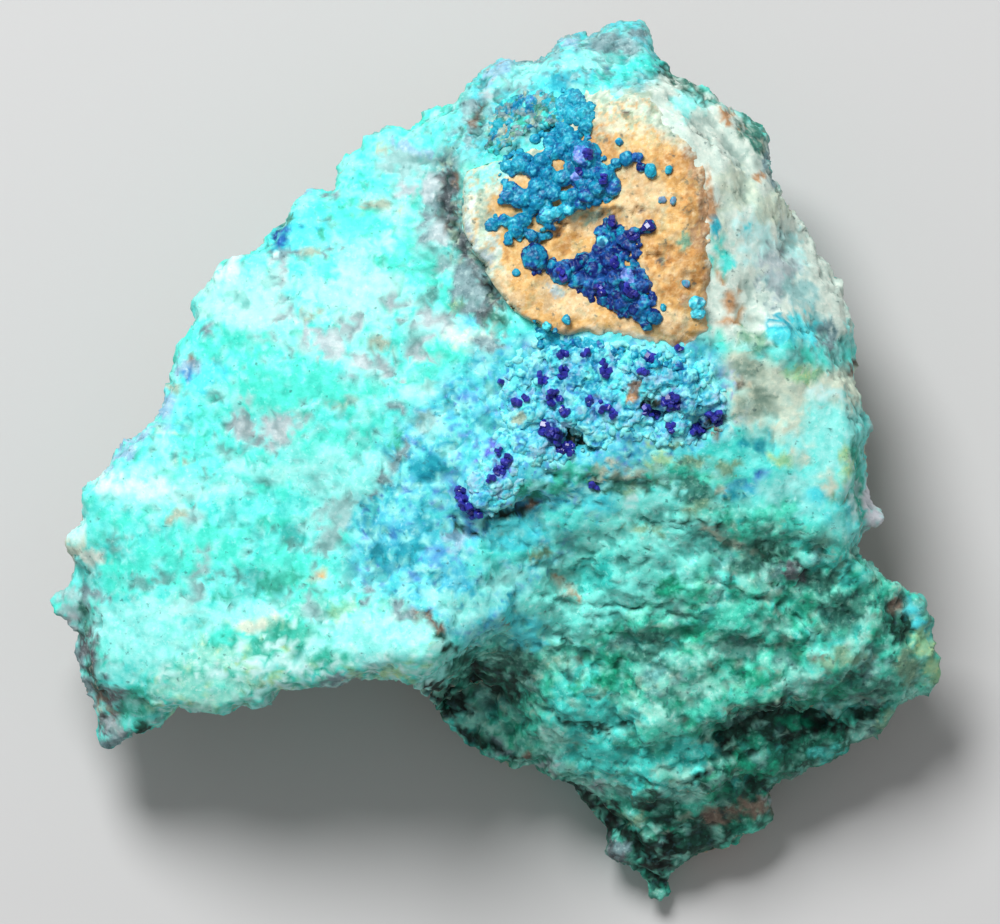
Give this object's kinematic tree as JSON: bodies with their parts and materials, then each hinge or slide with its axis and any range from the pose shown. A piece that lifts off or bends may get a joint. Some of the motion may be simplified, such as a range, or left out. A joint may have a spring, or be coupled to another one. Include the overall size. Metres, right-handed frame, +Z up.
{
  "type": "claraite and azurite mineral specimen",
  "caption": "Palm-sized broken piece of rock with a bright turquoise coating, a raised ochre crown with round blue grains and a band of dark blue crystals, lying on its back.",
  "frame": {"origin": "middle of the specimen's outline, on the surface it lies on", "axes": "+Z up, out of the display face; +Y towards the crown with the ochre crust; +X towards the side with the pale quartz tooth"},
  "size_m": [0.0554, 0.0552, 0.0229],
  "materials": {
    "matrix_rock": "rough rock under a thin dull turquoise coating",
    "ochre_crust": "earthy ochre crust with satin grains",
    "azurite_crust": "glassy dark blue crystals"
  },
  "bodies": {
    "root": {"matrix_rock": "matrix_rock", "ochre_crust": "ochre_crust", "azurite_crust": "azurite_crust"}
  },
  "joints": []
}
